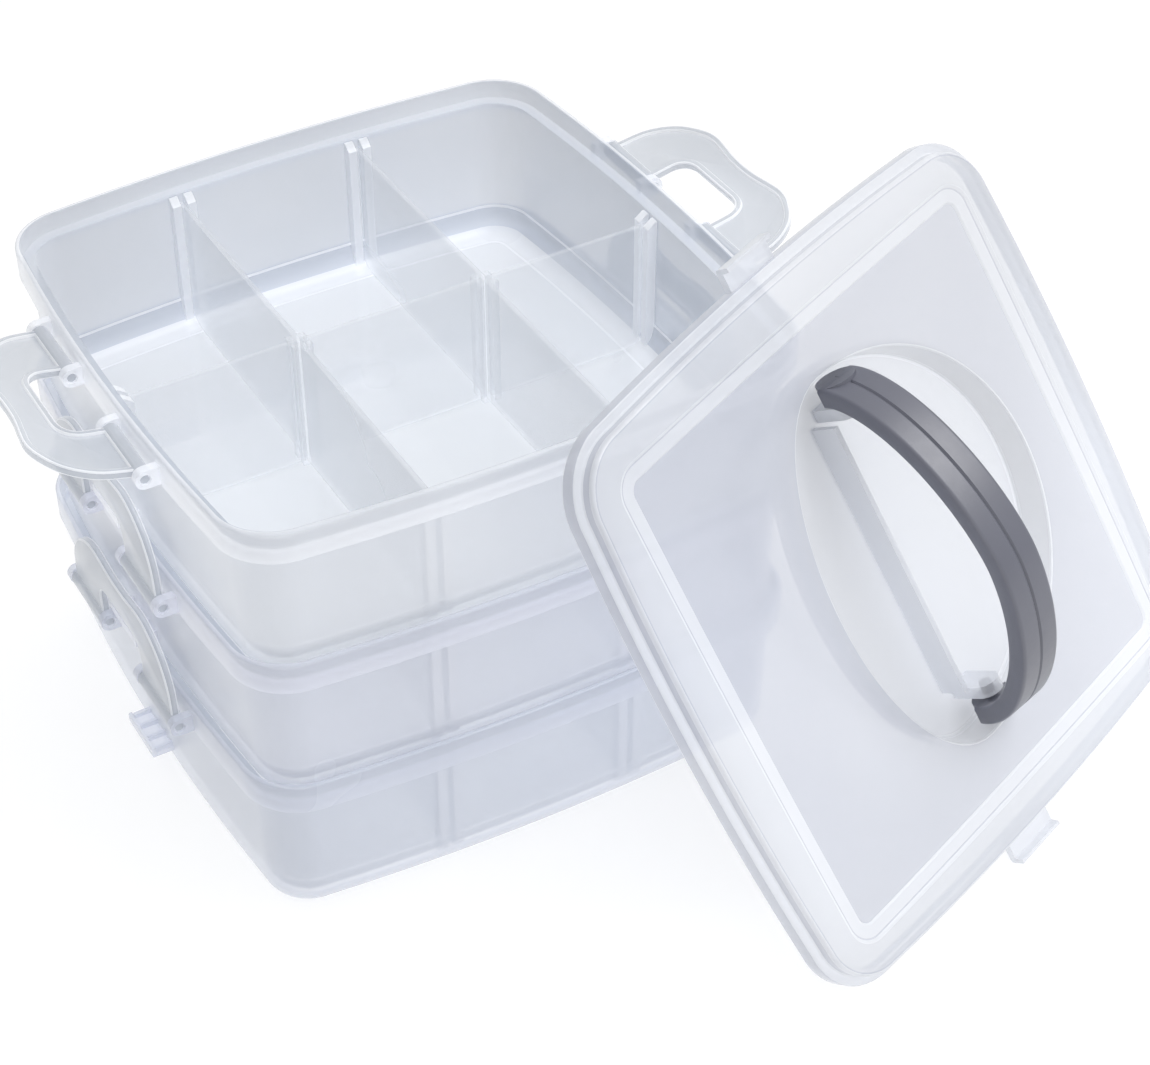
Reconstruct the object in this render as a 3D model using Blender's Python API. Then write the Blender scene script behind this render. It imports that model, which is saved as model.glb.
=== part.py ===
"""Stacking sewing box: three clear trays with lift-out dividers, side latches, and a leaning lid with a handle."""

import math

import bmesh
import bpy
from mathutils import Matrix, Vector

MM = 0.001

# Footprint shared by the trays
HALF = 75.0 * MM          # half side of the lip, at the corners
BOW = 2.7 * MM            # how far each side bulges at its middle
CORNER_R = 16.0 * MM
PITCH = 38.8 * MM         # height that each stacked tray adds
CORNER_STEPS = 6
SIDE_STEPS = 4
LID_SIDE_STEPS = 8

# Tray wall section as (inset, height), from under the floor, up the outside, over the lip, down the inside
TRAY_SECTION = [
    (9.3, 0.0), (6.3, 0.8), (4.1, 3.0), (3.5, 6.0), (3.0, 39.5), (1.4, 39.5), (1.4, 37.1),
    (0.3, 37.1), (0.0, 37.6), (0.0, 45.3), (0.4, 45.7), (1.1, 45.7), (1.4, 45.4), (1.5, 40.9),
    (4.6, 40.9), (5.0, 8.5), (5.8, 4.6), (8.0, 2.4), (11.5, 1.6),
]

# Divider grid
COLUMN_X = 25.5 * MM      # distance of each long divider from the middle
SHEET = 1.3 * MM          # divider thickness
SLOT = 1.9 * MM           # width of the slot between two guide ribs
RIB = 2.3 * MM            # width of one guide rib
DIVIDER_TOP = 38.2 * MM
DIVIDER_BOTTOM = 2.1 * MM
WALL_GAP = 0.5 * MM
GUIDE_SECTION = [(4.2, 40.2), (5.2, 40.2), (7.4, 38.5), (7.4, 2.5), (5.0, 4.6), (4.2, 6.6)]
DIVIDER_END = [(0.0, 38.2), (0.0, 9.0), (0.9, 5.0), (3.1, 2.9), (6.4, 2.1)]
POST_OUT = 1.9 * MM       # how far the small ribs on a long divider stand off its face

# Latch and its lugs
AXIS_X = 80.4 * MM        # distance of the latch axis from the middle
AXIS_Z = 40.4 * MM
LUG_R = 2.5 * MM
LUG_BORE = 1.45 * MM
PIN_R = 1.1 * MM
BARREL_R = 2.3 * MM
BARREL_IN = 13.3 * MM
BARREL_OUT = 32.2 * MM
LUGS_Y = [(10.6, 13.0), (32.5, 34.9)]
LATCH_EDGE = [(3.0, 32.0), (9.0, 31.3), (14.0, 29.0), (18.0, 25.3), (21.0, 19.7), (22.0, 15.0),
              (21.5, 9.8), (20.8, 4.8)]
LATCH_WINDOW = [(7.2, 13.3), (9.6, 12.4), (11.0, 10.6), (11.5, 8.2)]
LATCH_IN = -1.4 * MM      # inner face of the latch plate, measured from its axis
LATCH_OUT = 0.8 * MM
LATCH_BORDER = 1.6 * MM
LATCH_SUNK = 0.7 * MM
OPEN_ANGLE = math.radians(78.0)   # the top latches lie open, this far from upright

# Catch on each tray wall, as (distance from the middle, height)
CATCH_SECTION = [(73.5, 7.3), (80.2, 7.3), (80.2, 10.3), (79.2, 10.3), (79.0, 8.8), (73.5, 8.8)]
CATCH_HALF = 8.0 * MM

# Lid
LID_HALF = 77.25 * MM
LID_BOW = 2.25 * MM
LID_R = 18.0 * MM
LID_OUTSIDE = [(1.6, 0.0), (0.2, 0.0), (0.0, 0.3), (0.0, 3.4), (0.4, 3.8), (2.2, 3.8), (2.5, 4.2),
               (2.5, 6.6), (3.5, 7.5), (10.4, 7.5), (11.4, 6.9), (14.4, 6.9), (15.0, 6.4)]
LID_INSIDE = [(16.5, 4.9), (11.0, 5.4), (9.8, 6.0), (4.6, 6.0), (4.0, 5.4), (4.0, 2.6), (3.3, 2.2), (1.8, 2.2)]
WELL_ROUND = 50.6 * MM    # the recess is a half circle on one side of the hinge line
WELL_SHORT = 26.0 * MM    # and a flatter half oval on the other
WELL_DEEP = -1.6 * MM     # top of the recess floor
WALL = 1.5 * MM
WELL_TAPER = 1.0 * MM
LID_CATCH = [(78.6, 0.6), (84.4, 0.6), (85.2, 1.3), (85.2, 4.6), (84.1, 4.6), (83.8, 2.5), (78.6, 2.5)]
HINGE_Y = 4.8 * MM
HINGE_Z = 6.4 * MM
EAR_X = (38.4 * MM, 41.6 * MM)
EAR_R = 3.6 * MM
EAR_BORE = 2.0 * MM
FIN_HALF = 38.0 * MM

# Lid leaning on the front right corner of the stack
LID_POS = Vector((80.1, -99.0, 73.1)) * MM
LID_X = Vector((0.256, -0.451, -0.855))
LID_Y = Vector((0.927, 0.366, 0.085))

# Handle
ARCH_HALF = 45.4 * MM
ARCH_H = 31.8 * MM
ARCH_POWER = 1.75
STRAP_W = 11.7 * MM
STRAP_T = 5.1 * MM
ARCH_STEPS = 28
EYE_R = 5.0 * MM
STUB_R = 1.6 * MM
EYE_X = (42.95 * MM, 47.85 * MM)
STUB_X = (38.8 * MM, 44.0 * MM)
HANDLE_ANGLE = math.radians(98.8)  # from the lid's face

CLEAR = (0.80, 0.83, 0.86, 1.0)
CHARCOAL = (0.12, 0.12, 0.13, 1.0)


def clear_scene():
    for old in list(bpy.data.objects):
        bpy.data.objects.remove(old, do_unlink=True)


def material(name, color, roughness, transmission):
    made = bpy.data.materials.new(name)
    made.use_nodes = True
    surface = made.node_tree.nodes["Principled BSDF"]
    surface.inputs["Base Color"].default_value = color
    surface.inputs["Roughness"].default_value = roughness
    surface.inputs["Transmission Weight"].default_value = transmission
    return made


def rounded_square(half, inset, bow, radius, z, side_steps=SIDE_STEPS, least=3.0 * MM):
    """One closed ring of points: a square with bowed sides and round corners, counter-clockwise."""
    corner = max(radius - inset, least)
    centre = half - inset - corner
    quarter = []
    for step in range(CORNER_STEPS + 1):
        angle = math.pi / 2 * step / CORNER_STEPS
        quarter.append((centre + corner * math.cos(angle), centre + corner * math.sin(angle)))
    for step in range(1, side_steps):
        along = 1 - 2 * step / side_steps
        quarter.append((centre * along, half - inset + bow * (1 - along * along)))
    points = []
    for turn in range(4):
        c, s = [(1, 0), (0, 1), (-1, 0), (0, -1)][turn]
        points += [Vector((x * c - y * s, x * s + y * c, z)) for x, y in quarter]
    return points


def well_ring(grow, z):
    """The recess outline, with as many points as a ring of the lid."""
    points = []
    count = 4 * (CORNER_STEPS + LID_SIDE_STEPS)
    for i in range(count):
        angle = math.pi / 4 + 2 * math.pi * (i - CORNER_STEPS / 2) / count
        short = WELL_ROUND if math.sin(angle) > 0 else WELL_SHORT
        far = 1 / math.hypot(math.cos(angle) / WELL_ROUND, math.sin(angle) / short) + grow
        points.append(Vector((far * math.cos(angle), far * math.sin(angle), z)))
    return points


def finish(name, mesh_builder, made, smooth=True):
    """Turns a bmesh into an object with outward faces."""
    bmesh.ops.recalc_face_normals(mesh_builder, faces=mesh_builder.faces)
    mesh = bpy.data.meshes.new(name)
    mesh_builder.to_mesh(mesh)
    mesh_builder.free()
    if made:
        mesh.materials.append(made)
    if smooth:
        mesh.shade_smooth()
        mesh.set_sharp_from_angle(angle=math.radians(35))
    thing = bpy.data.objects.new(name, mesh)
    bpy.context.scene.collection.objects.link(thing)
    return thing


def add_loft(builder, rings, closed_ends=True):
    rows = [[builder.verts.new(point) for point in ring] for ring in rings]
    for low, high in zip(rows, rows[1:]):
        for i in range(len(low)):
            j = (i + 1) % len(low)
            builder.faces.new((low[i], low[j], high[j], high[i]))
    if closed_ends:
        builder.faces.new(rows[0][::-1])
        builder.faces.new(rows[-1])
    return rows


def add_prism(builder, outline, start, end, place):
    """A flat outline of (a, b) pushed from start to end along c; place turns (a, b, c) into a point."""
    add_loft(builder, [[place(a, b, c) for a, b in outline] for c in (start, end)])


def circle(a, b, radius, steps, first=0.0, turn=2 * math.pi):
    whole = abs(turn - 2 * math.pi) < 1e-6
    count = steps if whole else steps + 1
    return [(a + radius * math.cos(first + turn * i / steps), b + radius * math.sin(first + turn * i / steps))
            for i in range(count)]


def boolean(thing, other, operation):
    """Joins or cuts with a helper, then drops the helper."""
    other.hide_render = True
    other.display_type = "WIRE"
    change = thing.modifiers.new("shape", "BOOLEAN")
    change.operation = operation
    change.solver = "EXACT"
    change.object = other
    graph = bpy.context.evaluated_depsgraph_get()
    done = bpy.data.meshes.new_from_object(thing.evaluated_get(graph))
    thing.modifiers.clear()
    materials = list(thing.data.materials)
    thing.data = done
    done.materials.clear()
    for made in materials:
        done.materials.append(made)
    for face in done.polygons:
        face.material_index = 0
    bpy.data.objects.remove(other, do_unlink=True)


def side_at(along, inset):
    """Distance from the middle to the tray wall, at a point along the side."""
    straight = HALF - CORNER_R
    return HALF - inset + BOW * (1 - (along / straight) ** 2)


def guide_pair(builder, along, quarter_turn, sign):
    """Two ribs on one wall with a slot between them."""
    for side in (-1, 1):
        near = along + side * SLOT / 2
        far = along + side * (SLOT / 2 + RIB)
        outline = [(side_at(along, inset * MM), z * MM) for inset, z in GUIDE_SECTION]
        if quarter_turn:
            add_prism(builder, outline, near, far, lambda a, b, c: Vector((sign * a, c, b)))
        else:
            add_prism(builder, outline, near, far, lambda a, b, c: Vector((c, sign * a, b)))


def tray(name):
    builder = bmesh.new()
    add_loft(builder, [rounded_square(HALF, i * MM, BOW, CORNER_R, z * MM) for i, z in TRAY_SECTION])
    body = finish(name, builder, material(name + "_plastic", CLEAR, 0.15, 0.9))
    extras = bmesh.new()
    for sign in (-1, 1):
        for column in (-COLUMN_X, COLUMN_X):
            guide_pair(extras, column, False, sign)
        guide_pair(extras, 0.0, True, sign)
        for end in (-1, 1):
            for near, far in LUGS_Y:
                root = side_at(near * MM, 1.1 * MM)
                lug = [(root, AXIS_Z - LUG_R)] + circle(AXIS_X, AXIS_Z, LUG_R, 8, -math.pi / 2, math.pi)
                lug += [(root, AXIS_Z + LUG_R)]
                add_prism(extras, lug, end * near * MM, end * far * MM,
                          lambda a, b, c: Vector((sign * a, c, b)))
        catch = [(a * MM, b * MM) for a, b in CATCH_SECTION]
        add_prism(extras, catch, -CATCH_HALF, CATCH_HALF, lambda a, b, c: Vector((sign * a, c, b)))
    boolean(body, finish("extras", extras, None, False), "UNION")
    bores = bmesh.new()
    for sign in (-1, 1):
        for end in (-1, 1):
            for near, far in LUGS_Y:
                add_prism(bores, circle(AXIS_X, AXIS_Z, LUG_BORE, 12), end * (near - 1) * MM,
                          end * (far + 1) * MM, lambda a, b, c: Vector((sign * a, c, b)))
    boolean(body, finish("bores", bores, None, False), "DIFFERENCE")
    body.data.shade_smooth()
    body.data.set_sharp_from_angle(angle=math.radians(35))
    return body


def long_divider(name):
    """A sheet from the front wall to the back wall, with slotted posts at its middle for the cross sheets."""
    builder = bmesh.new()
    end = side_at(COLUMN_X, 5.0 * MM) - WALL_GAP
    right = [(end - back * MM, z * MM) for back, z in DIVIDER_END]
    outline = right + [(-a, b) for a, b in reversed(right)]
    add_prism(builder, outline, -SHEET / 2, SHEET / 2, lambda a, b, c: Vector((c, a, b)))
    body = finish(name, builder, material(name + "_plastic", CLEAR, 0.12, 0.92), False)
    posts = bmesh.new()
    for side in (-1, 1):
        near, far = side * SHEET / 4, side * (SHEET / 2 + POST_OUT)
        for sign in (-1, 1):
            low, high = sign * SLOT / 2, sign * (SLOT / 2 + 1.9 * MM)
            outline = [(near, low), (far, low), (far, high), (near, high)]
            add_prism(posts, outline, DIVIDER_BOTTOM + 0.2 * MM, DIVIDER_TOP - 0.2 * MM,
                      lambda a, b, c: Vector((a, b, c)))
    boolean(body, finish("posts", posts, None, False), "UNION")
    return body


def cross_divider(name, start, stop):
    """A short sheet that drops into the posts or into the guide ribs of a side wall."""
    builder = bmesh.new()
    left = []
    right = []
    for back, z in DIVIDER_END:
        if start < -COLUMN_X:
            left.append((start + back * MM, z * MM))
        if stop > COLUMN_X:
            right.append((stop - back * MM, z * MM))
    left = left or [(start, DIVIDER_TOP), (start, DIVIDER_BOTTOM)]
    right = right or [(stop, DIVIDER_TOP), (stop, DIVIDER_BOTTOM)]
    add_prism(builder, right + left[::-1], -SHEET / 2, SHEET / 2, lambda a, b, c: Vector((a, c, b)))
    return finish(name, builder, material(name + "_plastic", CLEAR, 0.12, 0.92), False)


def latch(name):
    """A bail-shaped latch about its own axis: x is radial, y runs along the axis and z is across the plate."""
    half = [(0.4 * MM, BARREL_OUT)] + [(u * MM, v * MM) for u, v in LATCH_EDGE]
    inner = [(0.4 * MM, BARREL_IN)] + [(u * MM, v * MM) for u, v in LATCH_WINDOW]
    outline = half + [(20.6 * MM, 0.0)] + [(u, -v) for u, v in reversed(half)]
    outline += [(u, -v) for u, v in inner] + [(u, v) for u, v in reversed(inner)]
    builder = bmesh.new()
    rows = add_loft(builder, [[Vector((u, v, w)) for u, v in outline] for w in (-LATCH_OUT, -LATCH_IN)])
    top = [face for face in builder.faces if all(vert in rows[1] for vert in face.verts)]
    bmesh.ops.recalc_face_normals(builder, faces=builder.faces)
    bmesh.ops.inset_individual(builder, faces=top, thickness=LATCH_BORDER, depth=-LATCH_SUNK,
                               use_even_offset=True)
    body = finish(name, builder, material(name + "_plastic", CLEAR, 0.15, 0.9))
    for low, high, radius in ((BARREL_IN, BARREL_OUT, BARREL_R), (11.0 * MM, 34.5 * MM, PIN_R)):
        rods = bmesh.new()
        for sign in (-1, 1):
            add_prism(rods, circle(0, 0, radius, 12), sign * low, sign * high, lambda a, b, c: Vector((a, c, b)))
        boolean(body, finish("rods", rods, None, False), "UNION")
    body.data.shade_smooth()
    body.data.set_sharp_from_angle(angle=math.radians(35))
    return body


def lid(name):
    rings, under = [
        [rounded_square(LID_HALF, i * MM, LID_BOW if i < 9 else 0.6 * MM, LID_R, z * MM, LID_SIDE_STEPS)
         for i, z in section] for section in (LID_OUTSIDE, LID_INSIDE)]
    rings += [well_ring(0.0, 6.4 * MM), well_ring(-WELL_TAPER, WELL_DEEP)]
    low = [well_ring(WALL, 4.9 * MM), well_ring(WALL - WELL_TAPER, WELL_DEEP - WALL)]
    builder = bmesh.new()
    rows = add_loft(builder, rings, False)
    back = add_loft(builder, low[::-1] + under, False)
    builder.faces.new(rows[-1])
    builder.faces.new(back[0][::-1])
    for i in range(len(rings[0])):
        j = (i + 1) % len(rings[0])
        builder.faces.new((back[-1][i], back[-1][j], rows[0][j], rows[0][i]))
    body = finish(name, builder, material(name + "_plastic", CLEAR, 0.2, 0.85))
    extras = bmesh.new()
    for sign in (-1, 1):
        ear = [(HINGE_Y - EAR_R, WELL_DEEP - 0.8 * MM), (HINGE_Y + EAR_R, WELL_DEEP - 0.8 * MM)]
        ear += circle(HINGE_Y, HINGE_Z, EAR_R, 8, 0.0, math.pi)
        add_prism(extras, ear, sign * EAR_X[0], sign * EAR_X[1], lambda a, b, c: Vector((c, a, b)))
        hook = [(a * MM, b * MM) for a, b in LID_CATCH]
        add_prism(extras, hook, -CATCH_HALF, CATCH_HALF, lambda a, b, c: Vector((sign * a, c, b)))
    foot = WELL_DEEP - 0.8 * MM
    fin = [(-1.6 * MM, foot), (-0.2 * MM, foot), (-0.2 * MM, 5.6 * MM), (-1.6 * MM, 5.6 * MM)]
    add_prism(extras, fin, -FIN_HALF, FIN_HALF, lambda a, b, c: Vector((c, a, b)))
    boolean(body, finish("extras", extras, None, False), "UNION")
    bores = bmesh.new()
    for sign in (-1, 1):
        add_prism(bores, circle(HINGE_Y, HINGE_Z, EAR_BORE, 12), sign * (EAR_X[0] - MM), sign * (EAR_X[1] + MM),
                  lambda a, b, c: Vector((c, a, b)))
    boolean(body, finish("bores", bores, None, False), "DIFFERENCE")
    body.data.shade_smooth()
    body.data.set_sharp_from_angle(angle=math.radians(35))
    return body


def handle(name):
    """An arched strap about its hinge axis: x is along the axis, y is the radial way when folded, z is up."""
    w, t = STRAP_W / 2, STRAP_T / 2
    section = [(t - 0.5 * MM, -w), (t, -w + 1.0 * MM), (t, -0.5 * MM), (t - 0.4 * MM, 0.0), (t, 0.5 * MM),
               (t, w - 1.0 * MM), (t - 0.5 * MM, w), (-t + 0.5 * MM, w), (-t, w - 0.5 * MM),
               (-t, -w + 0.5 * MM), (-t + 0.5 * MM, -w)]
    path = []
    for step in range(ARCH_STEPS + 1):
        angle = math.pi * step / ARCH_STEPS
        c, s = math.cos(angle), math.sin(angle)
        x = ARCH_HALF * math.copysign(abs(c) ** (2 / ARCH_POWER), c)
        path.append(Vector((x, ARCH_H * abs(s) ** (2 / ARCH_POWER), 0)))
    path[0].y = path[-1].y = -0.5 * MM
    rings = []
    for i, here in enumerate(path):
        along = (path[min(i + 1, ARCH_STEPS)] - path[max(i - 1, 0)]).normalized()
        if i in (0, ARCH_STEPS):
            along = Vector((0, 1 if i == 0 else -1, 0))
        out = Vector((along.y, -along.x, 0))
        rings.append([here + out * a + Vector((0, 0, b)) for a, b in section])
    builder = bmesh.new()
    add_loft(builder, rings)
    body = finish(name, builder, material(name + "_plastic", CHARCOAL, 0.45, 0.0))
    for low, high, radius, steps in ((*EYE_X, EYE_R, 16), (*STUB_X, STUB_R, 12)):
        rods = bmesh.new()
        for sign in (-1, 1):
            add_prism(rods, circle(0, 0, radius, steps), sign * low, sign * high,
                      lambda a, b, c: Vector((c, a, b)))
        boolean(body, finish("rods", rods, None, False), "UNION")
    body.data.shade_smooth()
    body.data.set_sharp_from_angle(angle=math.radians(35))
    return body


def basis(x_axis, y_axis, origin):
    """A placement matrix from two axes, squared up, and a position."""
    x_axis = x_axis.normalized()
    z_axis = x_axis.cross(y_axis).normalized()
    y_axis = z_axis.cross(x_axis)
    return Matrix((
        (x_axis.x, y_axis.x, z_axis.x, origin.x),
        (x_axis.y, y_axis.y, z_axis.y, origin.y),
        (x_axis.z, y_axis.z, z_axis.z, origin.z),
        (0, 0, 0, 1),
    ))


def main():
    clear_scene()
    names = ("bottom", "middle", "top")
    side_gap = side_at(0.0, 5.0 * MM) - WALL_GAP
    post_gap = SHEET / 2 + 0.35 * MM
    spans = ((-side_gap, -COLUMN_X - post_gap), (-COLUMN_X + post_gap, COLUMN_X - post_gap),
             (COLUMN_X + post_gap, side_gap))
    for level, word in enumerate(names):
        lift = Vector((0, 0, PITCH * level))
        tray("tray_" + word).location = lift
        for number, x in enumerate((-COLUMN_X, COLUMN_X), 1):
            long_divider(f"{word}_long_divider_{number}").location = lift + Vector((x, 0, 0))
        for number, (start, stop) in enumerate(spans, 1):
            cross_divider(f"{word}_cross_divider_{number}", start, stop).location = lift
        opened = OPEN_ANGLE if word == "top" else 0.0
        for side, sign in (("left", -1), ("right", 1)):
            radial = Vector((sign * math.sin(opened), 0, math.cos(opened)))
            inward = Vector((-sign * math.cos(opened), 0, math.sin(opened)))
            pivot = Vector((sign * AXIS_X, 0, AXIS_Z)) + lift
            latch(f"latch_{word}_{side}").matrix_world = basis(radial, inward.cross(radial), pivot)
    placed = basis(LID_X, LID_Y, LID_POS)
    lid("lid").matrix_world = placed
    swing = placed @ Matrix.Translation(Vector((0, HINGE_Y, HINGE_Z))) @ Matrix.Rotation(HANDLE_ANGLE, 4, "X")
    handle("handle").matrix_world = swing


main()
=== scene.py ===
import math

import bmesh
import bpy
from mathutils import Matrix, Vector


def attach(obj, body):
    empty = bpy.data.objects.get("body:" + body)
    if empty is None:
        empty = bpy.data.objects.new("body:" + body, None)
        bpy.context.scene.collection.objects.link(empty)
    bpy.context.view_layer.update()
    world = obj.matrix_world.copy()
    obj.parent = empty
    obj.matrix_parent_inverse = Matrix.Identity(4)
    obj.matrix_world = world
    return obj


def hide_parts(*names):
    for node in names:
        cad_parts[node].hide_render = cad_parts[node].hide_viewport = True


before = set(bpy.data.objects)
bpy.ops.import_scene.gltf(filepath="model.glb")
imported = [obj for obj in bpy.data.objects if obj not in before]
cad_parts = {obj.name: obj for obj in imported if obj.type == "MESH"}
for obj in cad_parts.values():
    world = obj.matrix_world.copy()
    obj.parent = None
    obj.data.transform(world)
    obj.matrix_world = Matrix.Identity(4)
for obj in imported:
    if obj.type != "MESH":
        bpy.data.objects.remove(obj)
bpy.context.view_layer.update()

MM = 0.001

# Sizes shared with the CAD
HALF, BOW, CORNER_R = 75.0 * MM, 2.7 * MM, 16.0 * MM
PITCH = 38.8 * MM
COLUMN_X = 25.5 * MM
SLOT, RIB = 1.9 * MM, 2.3 * MM
AXIS_X, AXIS_Z = 80.4 * MM, 40.4 * MM
LUG_R, LUG_BORE, PIN_R, BARREL_R = 2.5 * MM, 1.45 * MM, 1.1 * MM, 2.3 * MM
LUGS_Y = [(10.6 * MM, 13.0 * MM), (32.5 * MM, 34.9 * MM)]
BARREL_IN, BARREL_OUT = 13.3 * MM, 32.2 * MM
PIN_IN, PIN_OUT = 11.0 * MM, 34.5 * MM
CATCH_HALF = 8.0 * MM
WEBS_Y, WEB_HALF = (-7.4 * MM, -2.6 * MM, 2.6 * MM, 7.4 * MM), 0.5 * MM
OPEN_ANGLE = math.radians(78.0)
LID_HALF, LID_BOW, LID_R = 76.95 * MM, 2.25 * MM, 18.0 * MM  # stays inside the CAD's coarser outline
WELL_ROUND, WELL_SHORT, WELL_DEEP, WELL_TAPER = 50.6 * MM, 26.0 * MM, -1.6 * MM, 1.0 * MM
WALL = 1.5 * MM
HINGE_Y, HINGE_Z = 4.8 * MM, 6.4 * MM
EAR_IN, EAR_OUT, EAR_R = 38.4 * MM, 41.6 * MM, 3.6 * MM
FIN_HALF, FIN_Y, FIN_TOP = 38.0 * MM, (-1.6 * MM, -0.2 * MM), 5.6 * MM
LID_POS = Vector((80.1, -99.0, 73.1)) * MM
LID_X, LID_Y = Vector((0.256, -0.451, -0.855)), Vector((0.927, 0.366, 0.085))
ARCH_HALF, ARCH_H, ARCH_POWER = 45.4 * MM, 31.8 * MM, 1.75
STRAP_W, STRAP_T, STRAP_ROUND = 11.7 * MM, 5.1 * MM, 0.9 * MM
EYE_IN, EYE_OUT, EYE_R = 42.95 * MM, 47.85 * MM, 5.0 * MM
STUB_IN, STUB_OUT, STUB_R = 38.8 * MM, 44.0 * MM, 1.6 * MM
HANDLE_ANGLE = math.radians(98.8)

CORNER_STEPS, SIDE_STEPS, ARCH_STEPS = 14, 14, 96
SHARP_ANGLE = math.radians(40)

# Material slots of the mouldings. The outside slot carries painted shade that darkens the lower trays, the
# inside slot painted shade, the floor slot painted light, the thick and rim slots edges whitened partly by
# painted highlight, and the lid's bright and dim slots lighter copies as painted light
OUTSIDE, INSIDE, TRAY_FLOOR, THICK = 0, 1, 2, 3
LATCH_PLATE, LATCH_RIM = 0, 1
LID_TOP, LID_BACK, LID_BRIGHT, LID_DIM = 0, 1, 2, 3


# ---------------------------------------------------------------- materials

def nodes_of(name):
    made = bpy.data.materials.new(name)
    made.use_nodes = True
    tree = made.node_tree
    return made, tree, tree.nodes["Principled BSDF"]


def add(tree, kind, **values):
    """A node with its settings and its inputs filled in by name."""
    node = tree.nodes.new(kind)
    for key, value in values.items():
        if hasattr(node, key):
            setattr(node, key, value)
        else:
            node.inputs[key.replace("_", " ")].default_value = value
    return node


def noise(tree, scale, detail=2.0):
    """Noise on the piece's own coordinates, in patterns per metre."""
    where = add(tree, "ShaderNodeTexCoord")
    spots = add(tree, "ShaderNodeTexNoise", Scale=scale, Detail=detail)
    tree.links.new(where.outputs["Object"], spots.inputs["Vector"])
    return spots.outputs["Fac"]


def spread(tree, source, low, high):
    ramp = add(tree, "ShaderNodeMapRange")
    ramp.inputs["To Min"].default_value = low
    ramp.inputs["To Max"].default_value = high
    tree.links.new(source, ramp.inputs["Value"])
    return ramp.outputs["Result"]


CLOUD_SCALE, FLOW_SCALE = 22.0, 9.0
FLOW_DARK, FLOW_LIGHT = 0.86, 1.10
EDGE_BLEND, EDGE_POWER = 0.3, 1.6
POLYPROPYLENE_IOR = 1.49


def clear_plastic(name, face, rim, veil, thick, roughness):
    """Clear polypropylene: a thin veil that is denser where the wall is seen on edge, and whiter there by a
    painted highlight in its colour.
    """
    made, tree, surface = nodes_of(name)
    links = tree.links
    cloud = noise(tree, CLOUD_SCALE)
    facing = add(tree, "ShaderNodeLayerWeight", Blend=EDGE_BLEND)
    edge = add(tree, "ShaderNodeMath", operation="POWER")
    links.new(facing.outputs["Facing"], edge.inputs[0])
    edge.inputs[1].default_value = EDGE_POWER
    flow = add(tree, "ShaderNodeMix", data_type="RGBA")
    flow.inputs[6].default_value = (*(FLOW_DARK * c for c in face), 1)
    flow.inputs[7].default_value = (*(FLOW_LIGHT * c for c in face), 1)
    links.new(spread(tree, noise(tree, FLOW_SCALE, 1.0), -0.6, 1.6), flow.inputs[0])
    # Painted highlight: where the wall is seen on edge, the colour is mixed towards the rim colour
    tint = add(tree, "ShaderNodeMix", data_type="RGBA")
    links.new(flow.outputs[2], tint.inputs[6])
    tint.inputs[7].default_value = (*rim, 1)
    links.new(edge.outputs[0], tint.inputs[0])
    links.new(tint.outputs[2], surface.inputs["Base Color"])
    links.new(spread(tree, cloud, roughness - 0.04, roughness + 0.06), surface.inputs["Roughness"])
    density = add(tree, "ShaderNodeMath", operation="MULTIPLY_ADD", use_clamp=True)
    links.new(edge.outputs[0], density.inputs[0])
    density.inputs[1].default_value = thick
    links.new(spread(tree, cloud, veil * 0.85, veil * 1.15), density.inputs[2])
    links.new(density.outputs[0], surface.inputs["Alpha"])
    surface.inputs["IOR"].default_value = POLYPROPYLENE_IOR
    return made


def handle_plastic():
    """Charcoal moulded plastic with a fine grain and a soft gloss."""
    made, tree, surface = nodes_of("handle_charcoal")
    links = tree.links
    tint = add(tree, "ShaderNodeMix", data_type="RGBA")
    tint.inputs[6].default_value = (0.092, 0.096, 0.124, 1)
    tint.inputs[7].default_value = (0.112, 0.117, 0.150, 1)
    links.new(noise(tree, 60.0, 4.0), tint.inputs[0])
    links.new(tint.outputs[2], surface.inputs["Base Color"])
    links.new(spread(tree, noise(tree, 400.0, 3.0), 0.34, 0.48), surface.inputs["Roughness"])
    bump = add(tree, "ShaderNodeBump", Strength=0.25, Distance=0.0001)
    links.new(noise(tree, 2600.0, 2.0), bump.inputs["Height"])
    links.new(bump.outputs["Normal"], surface.inputs["Normal"])
    surface.inputs["IOR"].default_value = 1.6
    surface.inputs["Coat Weight"].default_value = 0.35
    surface.inputs["Coat Roughness"].default_value = 0.32
    return made


# Painted highlight colour that edge-on walls are mixed towards
HIGHLIGHT_WHITE = (0.86, 0.88, 0.91)
# One outside for each tray, bottom to top: painted shade makes the lower trays darker, so the stack grows
# paler upward
OUTERS_PAINTED_SHADE = [clear_plastic(f"tray_outside_painted_shade_{k}", tint, HIGHLIGHT_WHITE, 0.46, 0.45, 0.24)
          for k, tint in enumerate([(0.58, 0.61, 0.70), (0.69, 0.71, 0.80), (0.87, 0.89, 0.94)])]
# Painted shade: the tray's inside walls get a darker copy of the plastic than its outside
INNER_PAINTED_SHADE = clear_plastic("tray_inside_painted_shade", (0.42, 0.46, 0.53), (0.76, 0.79, 0.84), 0.52, 0.35, 0.22)
# Painted light: the tray's floors, which face up, get a lighter copy of the plastic
FLOOR_PAINTED_LIGHT = clear_plastic("tray_floor_painted_light", (0.72, 0.74, 0.77), HIGHLIGHT_WHITE, 0.45, 0.45, 0.28)
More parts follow.
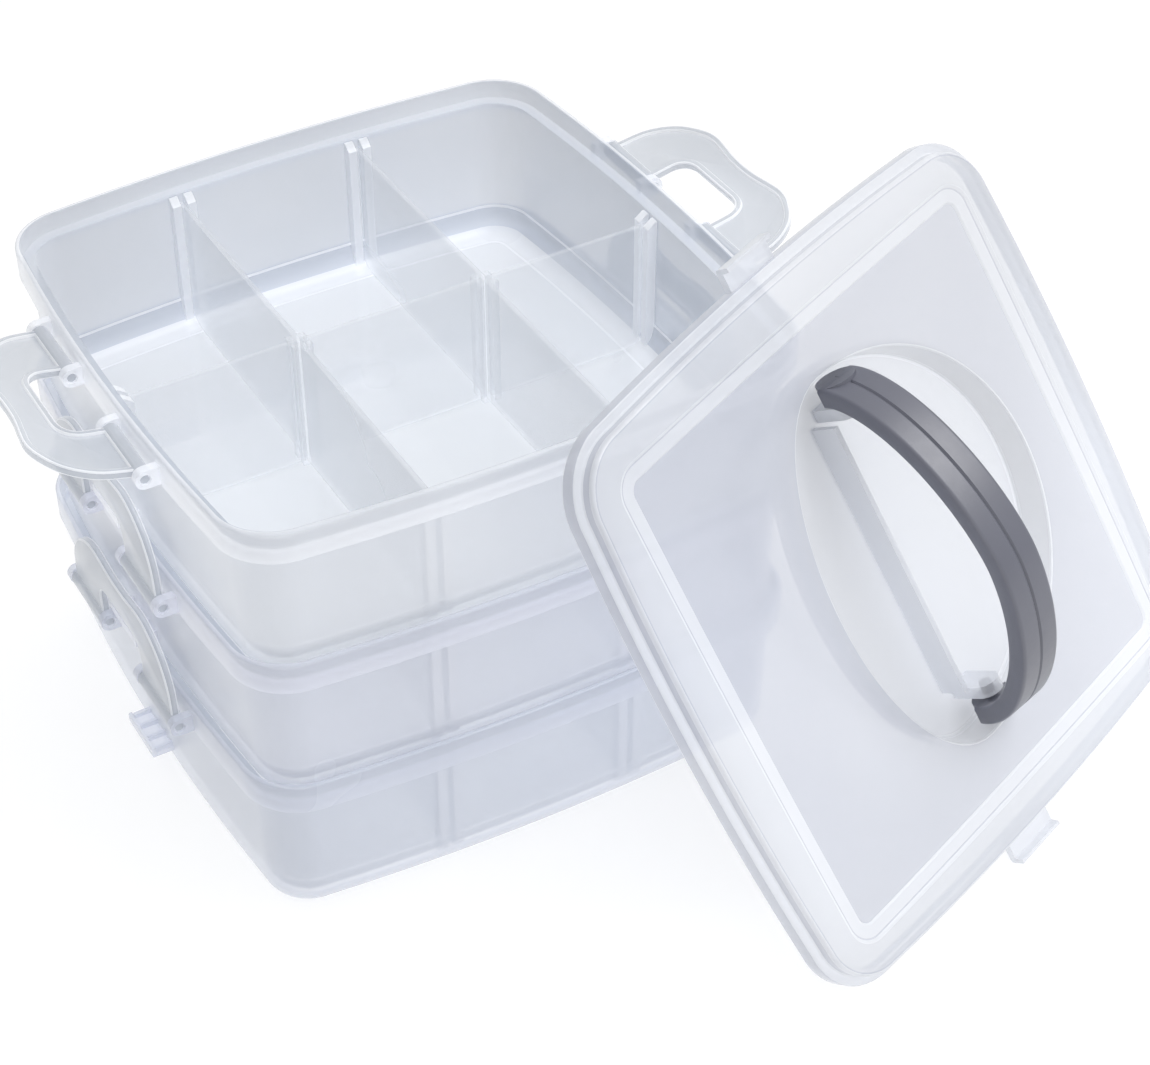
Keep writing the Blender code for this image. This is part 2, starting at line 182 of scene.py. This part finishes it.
# Whiter edges, ribs and latch rims: partly thicker plastic, partly painted highlight
RIM_THICK_AND_HIGHLIGHT = clear_plastic("thick_edge_and_highlight", (0.84, 0.86, 0.90), HIGHLIGHT_WHITE, 0.60, 0.30, 0.20)
SHEET = clear_plastic("divider_sheet", (0.66, 0.69, 0.73), HIGHLIGHT_WHITE, 0.14, 0.75, 0.12)
LATCH = clear_plastic("latch_clear", (0.44, 0.47, 0.52), HIGHLIGHT_WHITE, 0.50, 0.45, 0.18)
LID_OUT = clear_plastic("lid_outside", (0.47, 0.49, 0.56), HIGHLIGHT_WHITE, 0.52, 0.40, 0.20)
# Painted light: the lid's recess and border get a lighter copy, against the shade they sit in
RECESS_PAINTED_LIGHT = clear_plastic("lid_recess_painted_light", (0.62, 0.64, 0.69), HIGHLIGHT_WHITE, 0.46, 0.45, 0.14)
# Partly thick plastic, partly painted light: the lid's bright strips, ears, fin and hooks
LID_EDGE_AND_PAINTED_LIGHT = clear_plastic("lid_edge_and_painted_light", (0.68, 0.70, 0.75), HIGHLIGHT_WHITE, 0.56, 0.40, 0.20)
LID_IN = clear_plastic("lid_inside", (0.56, 0.58, 0.63), (0.86, 0.88, 0.92), 0.46, 0.45, 0.14)
CHARCOAL = handle_plastic()


# ---------------------------------------------------------------- mesh helpers

def finish(name, builder, materials):
    """An object in the scene from the built mesh, smooth except at its sharp edges."""
    mesh = bpy.data.meshes.new(name)
    builder.normal_update()
    builder.to_mesh(mesh)
    builder.free()
    for made in materials:
        mesh.materials.append(made)
    mesh.shade_smooth()
    mesh.set_sharp_from_angle(angle=SHARP_ANGLE)
    thing = bpy.data.objects.new(name, mesh)
    bpy.context.scene.collection.objects.link(thing)
    return thing


def loft(builder, rings, slots=None, ends=True):
    """Faces between closed rings of points; slots gives each strip's material, its ends those of the caps."""
    rows = [[builder.verts.new(point) for point in ring] for ring in rings]
    made = []
    for k, (low, high) in enumerate(zip(rows, rows[1:])):
        for i in range(len(low)):
            j = (i + 1) % len(low)
            face = builder.faces.new((low[i], low[j], high[j], high[i]))
            face.material_index = slots[k] if slots else 0
            made.append(face)
    if ends:
        for row, number in ((rows[0][::-1], 0), (rows[-1], -1)):
            face = builder.faces.new(row)
            face.material_index = slots[number] if slots else 0
            made.append(face)
    bmesh.ops.recalc_face_normals(builder, faces=made)
    return rows


def prism(builder, outline, start, end, place, slot=0):
    """An outline (a, b) carried along c from start to end; place turns (a, b, c) into a point."""
    loft(builder, [[place(a, b, c) for a, b in outline] for c in (start, end)], [slot])


def circle(a, b, radius, steps):
    angles = [2 * math.pi * i / steps for i in range(steps)]
    return [(a + radius * math.cos(angle), b + radius * math.sin(angle)) for angle in angles]


def half_circle(a, b, radius, steps):
    """The upper half, with both of its ends."""
    angles = [math.pi * i / steps for i in range(steps + 1)]
    return [(a + radius * math.cos(angle), b + radius * math.sin(angle)) for angle in angles]


def rounded_square(half, inset, bow, radius, z, least=3.0 * MM):
    """A square ring with bowed sides and round corners."""
    corner = max(radius - inset, least)
    centre = half - inset - corner
    quarter = []
    for step in range(CORNER_STEPS + 1):
        angle = math.pi / 2 * step / CORNER_STEPS
        quarter.append((centre + corner * math.cos(angle), centre + corner * math.sin(angle)))
    for step in range(1, SIDE_STEPS):
        along = 1 - 2 * step / SIDE_STEPS
        quarter.append((centre * along, half - inset + bow * (1 - along * along)))
    points = []
    for c, s in ((1, 0), (0, 1), (-1, 0), (0, -1)):
        points += [Vector((x * c - y * s, x * s + y * c, z)) for x, y in quarter]
    return points


def side_at(along, inset):
    """How far out the tray's bowed side stands at a place along it."""
    return HALF - inset + BOW * (1 - (along / (HALF - CORNER_R)) ** 2)


def arc(centre, radii, first, last, steps):
    """Points of an elliptical arc as (inset, height)."""
    return [(centre[0] + radii[0] * math.cos(math.radians(first + (last - first) * i / steps)),
             centre[1] + radii[1] * math.sin(math.radians(first + (last - first) * i / steps)))
            for i in range(steps + 1)]


# ---------------------------------------------------------------- trays

def tray_section():
    """(inset, height, slot) from under the floor, up the outside, over the lip and down the inside."""
    outside = arc((9.3, 6.0), (5.8, 6.0), 270, 180, 7)
    outside += [(3.2, 24.0), (3.0, 39.2), (2.7, 39.5), (1.6, 39.5), (1.4, 39.3), (1.4, 37.3)]
    outside += [(1.2, 37.1), (0.4, 37.1), (0.1, 37.3), (0.0, 37.7), (0.0, 45.1)]
    outside += [(0.12, 45.5), (0.4, 45.7), (1.1, 45.7)]
    wall = [(1.35, 45.55), (1.45, 45.2), (1.5, 41.2), (1.7, 40.95), (2.0, 40.9), (4.3, 40.9)]
    wall += [(4.55, 40.8), (4.65, 40.5), (4.85, 24.0), (4.87, 9.2)]
    corner, *fillet = arc((11.5, 8.5), (6.5, 6.9), 180, 270, 8)
    section = [(i, z, OUTSIDE) for i, z in outside] + [(i, z, INSIDE) for i, z in wall]
    # Painted highlight: a bright line at the wall's foot; painted light: the fillet's lower faces take the
    # floor's lighter copy so the corner shows no shade
    section.append((*corner, THICK))
    section += [(i, z, INSIDE if z > 3 else TRAY_FLOOR) for i, z in fillet]
    return section + [(12.2, 1.6, THICK)]


def guide_pair(builder, along, quarter_turn, sign):
    """Two ribs down the inside wall, with a divider's slot between them."""
    section = [(4.2, 40.2), (5.2, 40.2), (7.4, 38.5), (7.4, 2.5), (5.0, 4.6), (4.2, 6.6)]
    outline = [(side_at(along, inset * MM), z * MM) for inset, z in section]
    # The ribs take the thick slot, whiter partly by painted highlight
    for side in (-1, 1):
        near, far = along + side * SLOT / 2, along + side * (SLOT / 2 + RIB)
        if quarter_turn:
            prism(builder, outline, near, far, lambda a, b, c: Vector((sign * a, c, b)), THICK)
        else:
            prism(builder, outline, near, far, lambda a, b, c: Vector((c, sign * a, b)), THICK)


def lug(builder, sign, near, far):
    """A D-shaped ear on the lip, with a round hole for the latch's pin."""
    root = side_at(near, 1.1 * MM)
    steps = 24
    hole = circle(AXIS_X, AXIS_Z, LUG_BORE, steps)
    rim = []
    for a, b in circle(0, 0, 1.0, steps):
        reach = LUG_R if a > 0 else min((AXIS_X - root) / max(-a, 1e-6), LUG_R / max(abs(b), 1e-6))
        rim.append((AXIS_X + a * reach, AXIS_Z + b * reach))
    rows = []
    for c, outline in ((near, hole), (near, rim), (far, rim), (far, hole)):
        rows.append([Vector((sign * a, c, b)) for a, b in outline])
    loft(builder, rows + rows[:1], None, False)


CATCH = [(a * MM, b * MM) for a, b in (
    (73.5, 7.3), (79.8, 7.3), (80.2, 7.7), (80.2, 10.0), (79.9, 10.3), (79.2, 10.3), (79.0, 8.8),
    (73.5, 8.8))]
WEB = [(a * MM, b * MM) for a, b in ((73.6, 8.6), (79.1, 8.6), (79.0, 9.9), (73.6, 10.2))]


def tray(word, level):
    section = tray_section()
    builder = bmesh.new()
    rings = [rounded_square(HALF, i * MM, BOW, CORNER_R, z * MM) for i, z, _ in section]
    loft(builder, rings, [slot for _, _, slot in section][1:])
    # Painted light: the flat floor faces take the floor's lighter copy
    for face in builder.faces:
        if len(face.verts) > 4:
            face.material_index = TRAY_FLOOR
    for sign in (-1, 1):
        for column in (-COLUMN_X, COLUMN_X):
            guide_pair(builder, column, False, sign)
        guide_pair(builder, 0.0, True, sign)
        for end in (-1, 1):
            for near, far in LUGS_Y:
                lug(builder, sign, end * near, end * far)
        prism(builder, CATCH, -CATCH_HALF, CATCH_HALF, lambda a, b, c: Vector((sign * a, c, b)))
        for middle in WEBS_Y:
            prism(builder, WEB, middle - WEB_HALF, middle + WEB_HALF,
                  lambda a, b, c: Vector((sign * a, c, b)))
    bmesh.ops.translate(builder, verts=builder.verts, vec=(0, 0, PITCH * level))
    body = finish(f"tray_{word}_moulding", builder, [OUTERS_PAINTED_SHADE[level], INNER_PAINTED_SHADE, FLOOR_PAINTED_LIGHT, RIM_THICK_AND_HIGHLIGHT])
    body.visible_shadow = False
    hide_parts(f"tray_{word}")
    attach(body, f"tray_{word}")


# ---------------------------------------------------------------- latches

def smooth_outline(points, steps):
    """A Catmull-Rom curve through the points, ends kept."""
    made = []
    ends = [points[0]] + points + [points[-1]]
    for i in range(1, len(ends) - 2):
        p0, p1, p2, p3 = (Vector(ends[i + k]) for k in (-1, 0, 1, 2))
        for step in range(steps):
            t = step / steps
            made.append(0.5 * (2 * p1 + (p2 - p0) * t + (2 * p0 - 5 * p1 + 4 * p2 - p3) * t * t
                               + (3 * p1 - p0 - 3 * p2 + p3) * t ** 3))
    return [tuple(p) for p in made] + [tuple(points[-1])]


# Half outlines in mm: away from the hinge, along the hinge
LATCH_EDGE = [(0.4, 32.2), (3.0, 32.0), (9.0, 31.3), (14.0, 29.0), (18.0, 25.3), (21.0, 19.7),
              (22.0, 15.0), (21.5, 9.8), (20.8, 4.8), (20.6, 0.0)]
LATCH_WINDOW = [(0.4, 13.3), (7.2, 13.3), (9.6, 12.4), (11.0, 10.6), (11.5, 8.2)]
# Rings of the plate: how far the outline is drawn in, the place across the plate, the slot above it; the rim
# slot makes the rounded edges whiter, partly by painted highlight
LATCH_RINGS = [(0.45, -0.8, LATCH_RIM), (0.15, -0.72, LATCH_RIM), (0.0, -0.4, LATCH_PLATE),
               (0.0, 1.0, LATCH_RIM), (0.15, 1.32, LATCH_RIM), (0.45, 1.4, LATCH_PLATE),
               (1.45, 1.4, LATCH_RIM), (1.6, 1.3, LATCH_RIM), (1.8, 0.8, LATCH_PLATE), (2.1, 0.7, None)]


def moved_in(points, amount):
    """A clockwise outline with every corner moved inward."""
    made = []
    for i, (u, v) in enumerate(points):
        before = Vector((u, v)) - Vector(points[i - 1])
        after = Vector(points[(i + 1) % len(points)]) - Vector((u, v))
        first, second = (Vector((d.y, -d.x)).normalized() for d in (before, after))
        way = (first + second).normalized()
        step = amount / max(way.dot(first), 0.5)
        made.append((u + way.x * step, v + way.y * step))
    return made


def latch_ring(shrink, w):
    """One ring of the latch plate: away from the hinge, along it, across the plate."""
    corners = LATCH_EDGE + [(u, -v) for u, v in reversed(LATCH_EDGE[:-1])]
    corners += [(u, -v) for u, v in LATCH_WINDOW] + LATCH_WINDOW[::-1]
    moved = moved_in(corners, shrink)
    edge = smooth_outline(moved[:len(LATCH_EDGE)], 4)
    window = smooth_outline(moved[-len(LATCH_WINDOW):][::-1], 4)
    outline = edge + [(u, -v) for u, v in reversed(edge[:-1])]
    outline += [(u, -v) for u, v in window] + window[::-1]
    return [Vector((u * MM, v * MM, w * MM)) for u, v in outline]


def latch(word, side, sign, level):
    """The plate has rounded edges, and a sunk panel on the side that faces the tray."""
    builder = bmesh.new()
    rings = [latch_ring(shrink, w) for shrink, w, _ in LATCH_RINGS]
    loft(builder, rings, [slot for _, _, slot in LATCH_RINGS[:-1]])
    for face in builder.faces:
        if len(face.verts) > 4:
            face.material_index = LATCH_PLATE
    for end in (-1, 1):
        for low, high, radius in ((BARREL_IN, BARREL_OUT, BARREL_R), (PIN_IN, PIN_OUT, PIN_R)):
            prism(builder, circle(0, 0, radius, 24), end * low, end * high,
                  lambda a, b, c: Vector((a, c, b)), LATCH_PLATE)
    opened = OPEN_ANGLE if word == "top" else 0.0
    radial = Vector((sign * math.sin(opened), 0, math.cos(opened)))
    inward = Vector((-sign * math.cos(opened), 0, math.sin(opened)))
    pivot = Vector((sign * AXIS_X, 0, AXIS_Z + PITCH * level))
    bmesh.ops.transform(builder, matrix=basis(radial, inward.cross(radial), pivot), verts=builder.verts)
    body = finish(f"latch_{word}_{side}_plate", builder, [LATCH, RIM_THICK_AND_HIGHLIGHT])
    body.visible_shadow = False
    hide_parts(f"latch_{word}_{side}")
    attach(body, f"latch_{word}_{side}")


def basis(x_axis, y_axis, origin):
    x_axis = x_axis.normalized()
    z_axis = x_axis.cross(y_axis).normalized()
    y_axis = z_axis.cross(x_axis)
    matrix = Matrix((x_axis, y_axis, z_axis)).transposed().to_4x4()
    matrix.translation = origin
    return matrix


# ---------------------------------------------------------------- dividers

def dividers(word):
    """The CAD sheets keep their shape and get softened edges."""
    kinds = [f"{word}_long_divider_{k}" for k in (1, 2)] + [f"{word}_cross_divider_{k}" for k in (1, 2, 3)]
    for name in kinds:
        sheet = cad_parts[name]
        sheet.data.materials.clear()
        sheet.data.materials.append(SHEET)
        sheet.visible_shadow = False
        edge = sheet.modifiers.new("edge", "BEVEL")
        edge.width = 0.3 * MM
        edge.segments = 3
        edge.limit_method = "ANGLE"
        edge.angle_limit = SHARP_ANGLE
        edge.harden_normals = True


# ---------------------------------------------------------------- lid

def well_ring(grow, z):
    """The recess outline: a half circle on one side, a flatter half oval on the other."""
    points = []
    count = 4 * (CORNER_STEPS + SIDE_STEPS)
    for i in range(count):
        angle = math.pi / 4 + 2 * math.pi * (i - CORNER_STEPS / 2) / count
        short = WELL_ROUND if math.sin(angle) > 0 else WELL_SHORT
        far = 1 / math.hypot(math.cos(angle) / WELL_ROUND, math.sin(angle) / short) + grow
        points.append(Vector((far * math.cos(angle), far * math.sin(angle), z)))
    return points


# Strips of the lid's outside that are thick plastic and are drawn lighter, partly by painted light, counted
# from the skirt's foot; the border is the flat band that runs round the sunk panel, lightened by painted
# light
BRIGHT_STRIPS = (1, 2, 5, 6, 7, 8, 10, 11, 12, 13, 14, 17, 18, 20, 21, 22)
BORDER_STRIP = 16
FLAT_INSET, PANEL_BOW = 9.0, 0.6 * MM

HOOK = [(a * MM, b * MM) for a, b in (
    (78.6, 0.6), (84.4, 0.6), (85.0, 0.9), (85.2, 1.5), (85.2, 4.3), (84.9, 4.6), (84.1, 4.6), (83.8, 2.5),
    (78.6, 2.5))]


def lid_ring(inset, z):
    return rounded_square(LID_HALF, inset * MM, LID_BOW if inset < FLAT_INSET else PANEL_BOW, LID_R, z * MM)


def lid():
    """One skin: up the outside and into the recess, then under the recess and back down the inside."""
    outside = [(1.6, 0.0), (0.3, 0.0), (0.08, 0.1), (0.0, 0.35), (0.0, 3.3), (0.1, 3.6), (0.4, 3.8)]
    outside += [(2.0, 3.8), (2.3, 3.9), (2.5, 4.2), (2.5, 6.2)] + arc((3.6, 6.4), (1.1, 1.1), 180, 90, 5)
    outside += [(10.3, 7.5), (10.7, 7.4), (11.1, 7.0), (11.5, 6.9), (14.4, 6.9), (14.7, 6.8), (15.0, 6.4)]
    inside = [(16.5, 4.9), (11.2, 5.4), (9.8, 6.0), (4.6, 6.0), (4.1, 5.7), (4.0, 5.2), (4.0, 2.7)]
    inside += [(3.8, 2.3), (3.3, 2.2), (2.0, 2.2), (1.8, 2.0)]
    outer, inner = [[lid_ring(inset, z) for inset, z in section] for section in (outside, inside)]
    brim = [well_ring(0.5 * MM, 6.4 * MM), well_ring(0.15 * MM, 6.25 * MM), well_ring(0.0, 5.9 * MM)]
    brim += [well_ring(-WELL_TAPER, WELL_DEEP + 0.8 * MM),
             well_ring(-WELL_TAPER - 0.3 * MM, WELL_DEEP + 0.2 * MM),
             well_ring(-WELL_TAPER - 0.9 * MM, WELL_DEEP)]
    under = [well_ring(WALL - WELL_TAPER - 0.8 * MM, WELL_DEEP - WALL),
             well_ring(WALL - WELL_TAPER - 0.2 * MM, WELL_DEEP - WALL + 0.3 * MM),
             well_ring(WALL - WELL_TAPER, WELL_DEEP - WALL + 1.0 * MM), well_ring(WALL, 4.9 * MM)]
    builder = bmesh.new()
    # The recess walls and floor and the border take lighter copies as painted light
    slots = [LID_BRIGHT if k in BRIGHT_STRIPS else LID_TOP for k in range(len(outer))]
    slots += [LID_BRIGHT, LID_BRIGHT, LID_DIM, LID_BRIGHT, LID_BRIGHT]
    slots[BORDER_STRIP] = LID_DIM
    rows = loft(builder, outer + brim, slots, False)
    back = loft(builder, under + inner, [LID_BACK] * (len(under) + len(inner)), False)
    builder.faces.new(rows[-1]).material_index = LID_DIM
    builder.faces.new(back[0][::-1]).material_index = LID_BACK
    for i in range(len(rows[0])):
        j = (i + 1) % len(rows[0])
        foot_strip = builder.faces.new((back[-1][i], back[-1][j], rows[0][j], rows[0][i]))
        foot_strip.material_index = LID_BACK
    bmesh.ops.recalc_face_normals(builder, faces=builder.faces)
    foot = WELL_DEEP - 0.8 * MM
    # Painted light: the ears, hooks and fin take the lid's lighter edge copy where they face away from the
    # light
    for sign in (-1, 1):
        ear = [(HINGE_Y - EAR_R, foot), (HINGE_Y + EAR_R, foot)] + half_circle(HINGE_Y, HINGE_Z, EAR_R, 16)
        prism(builder, ear, sign * EAR_IN, sign * EAR_OUT, lambda a, b, c: Vector((c, a, b)), LID_BRIGHT)
        prism(builder, HOOK, -CATCH_HALF, CATCH_HALF, lambda a, b, c: Vector((sign * a, c, b)), LID_BRIGHT)
    fin = [(FIN_Y[0], foot), (FIN_Y[1], foot), (FIN_Y[1], FIN_TOP), (FIN_Y[0], FIN_TOP)]
    prism(builder, fin, -FIN_HALF, FIN_HALF, lambda a, b, c: Vector((c, a, b)), LID_BRIGHT)
    bmesh.ops.transform(builder, matrix=basis(LID_X, LID_Y, LID_POS), verts=builder.verts)
    body = finish("lid_moulding", builder, [LID_OUT, LID_IN, LID_EDGE_AND_PAINTED_LIGHT, RECESS_PAINTED_LIGHT])
    body.visible_shadow = False
    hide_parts("lid")
    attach(body, "lid")


# ---------------------------------------------------------------- handle

def handle():
    """The strap's section has rounded edges and a shallow groove along its outer face."""
    w, t, r = STRAP_W / 2, STRAP_T / 2, STRAP_ROUND
    section = [(t, -w + 1.0 * MM), (t, -0.45 * MM), (t - 0.2 * MM, -0.3 * MM), (t - 0.45 * MM, 0.0),
               (t - 0.2 * MM, 0.3 * MM), (t, 0.45 * MM), (t, w - 1.0 * MM)]
    for a, b, first in ((t - r, w - r, 0), (-t + r, w - r, 90), (-t + r, -w + r, 180), (t - r, -w + r, 270)):
        for step in range(1, 5):
            angle = math.radians(first + 90 * step / 5)
            section.append((a + r * math.cos(angle), b + r * math.sin(angle)))
    path = []
    for step in range(ARCH_STEPS + 1):
        angle = math.pi * step / ARCH_STEPS
        c, s = math.cos(angle), math.sin(angle)
        x = ARCH_HALF * math.copysign(abs(c) ** (2 / ARCH_POWER), c)
        path.append(Vector((x, ARCH_H * abs(s) ** (2 / ARCH_POWER), 0)))
    path[0].y = path[-1].y = -0.5 * MM
    rings = []
    for i, here in enumerate(path):
        along = (path[min(i + 1, ARCH_STEPS)] - path[max(i - 1, 0)]).normalized()
        if i in (0, ARCH_STEPS):
            along = Vector((0, 1 if i == 0 else -1, 0))
        out = Vector((along.y, -along.x, 0))
        rings.append([here + out * a + Vector((0, 0, b)) for a, b in section])
    builder = bmesh.new()
    loft(builder, rings)
    for sign in (-1, 1):
        for low, high, radius in ((EYE_IN, EYE_OUT, EYE_R), (STUB_IN, STUB_OUT, STUB_R)):
            prism(builder, circle(0, 0, radius, 32), sign * low, sign * high,
                  lambda a, b, c: Vector((c, a, b)))
    swing = basis(LID_X, LID_Y, LID_POS) @ Matrix.Translation((0, HINGE_Y, HINGE_Z))
    swing = swing @ Matrix.Rotation(HANDLE_ANGLE, 4, "X")
    bmesh.ops.transform(builder, matrix=swing, verts=builder.verts)
    body = finish("handle_strap", builder, [CHARCOAL])
    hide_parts("handle")
    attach(body, "handle")


# ---------------------------------------------------------------- stage, light, camera

FLOOR_HALF, FLOOR_DROP = 12.0, 0.4 * MM
FLOOR_GREY, FLOOR_GLOW = 0.60, 0.36
SKY_LEVEL, SKY_TILT = 0.56, (0.12, 0.0, 0.42)


def stage():
    """A white floor that glows a little, and a white sky that is brighter overhead."""
    builder = bmesh.new()
    bmesh.ops.create_grid(builder, x_segments=8, y_segments=8, size=FLOOR_HALF)
    floor = finish("floor", builder, [])
    floor.location = (0, 0, -FLOOR_DROP)
    made, tree, surface = nodes_of("floor_white")
    surface.inputs["Base Color"].default_value = (FLOOR_GREY, FLOOR_GREY, FLOOR_GREY, 1)
    surface.inputs["Roughness"].default_value = 0.9
    surface.inputs["Specular IOR Level"].default_value = 0.1
    surface.inputs["Emission Color"].default_value = (1, 1, 1, 1)
    surface.inputs["Emission Strength"].default_value = FLOOR_GLOW
    floor.data.materials.append(made)
    world = bpy.data.worlds.new("studio")
    world.use_nodes = True
    tree = world.node_tree
    where = add(tree, "ShaderNodeTexCoord")
    tilt = add(tree, "ShaderNodeVectorMath", operation="DOT_PRODUCT")
    tree.links.new(where.outputs["Generated"], tilt.inputs[0])
    tilt.inputs[1].default_value = SKY_TILT
    glow = add(tree, "ShaderNodeMath", operation="ADD")
    tree.links.new(tilt.outputs["Value"], glow.inputs[0])
    glow.inputs[1].default_value = SKY_LEVEL
    tree.links.new(glow.outputs[0], tree.nodes["Background"].inputs["Strength"])
    tree.nodes["Background"].inputs["Color"].default_value = (1.0, 1.0, 1.0, 1)
    bpy.context.scene.world = world


def lamp(name, where, aim, size, power):
    data = bpy.data.lights.new(name, "AREA")
    data.shape = "RECTANGLE"
    data.size, data.size_y = size
    data.energy = power
    thing = bpy.data.objects.new(name, data)
    thing.location = where
    thing.rotation_euler = (Vector(aim) - Vector(where)).to_track_quat("-Z", "Y").to_euler()
    bpy.context.scene.collection.objects.link(thing)


def camera():
    """A long lens shifted off the middle, looking down on the stack's near left corner."""
    data = bpy.data.cameras.new("camera")
    data.lens = 83.5
    data.shift_x, data.shift_y = 0.2436, 0.1254
    thing = bpy.data.objects.new("camera", data)
    thing.matrix_world = camera_axes()
    thing.location = (-0.2292, -0.4944, 0.4896)
    data.clip_start, data.clip_end = 0.01, 20
    bpy.context.scene.collection.objects.link(thing)
    bpy.context.scene.camera = thing


def camera_axes():
    """The camera's turn is an axis times an angle, for axes that point right, down and forward."""
    turn = Vector((2.2461, -0.5399, 0.1414))
    world_to_camera = Matrix.Rotation(turn.length, 3, turn)
    right, down, forward = world_to_camera
    return Matrix((right, -down, -forward)).transposed().to_4x4()


def main():
    for level, word in enumerate(("bottom", "middle", "top")):
        tray(word, level)
        dividers(word)
        for side, sign in (("left", -1), ("right", 1)):
            latch(word, side, sign, level)
    lid()
    handle()
    stage()
    lamp("key", (0.55, -0.45, 1.15), (0.08, -0.1, 0.08), (0.7, 0.7), 8)
    lamp("fill", (-0.6, -1.2, 0.5), (0.0, 0, 0.06), (1.2, 0.8), 2)
    camera()
    view = bpy.context.scene.view_settings
    view.view_transform = "Standard"
    cycles = bpy.context.scene.cycles
    cycles.transparent_max_bounces = 64
    cycles.max_bounces, cycles.diffuse_bounces, cycles.glossy_bounces = 5, 4, 2


main()
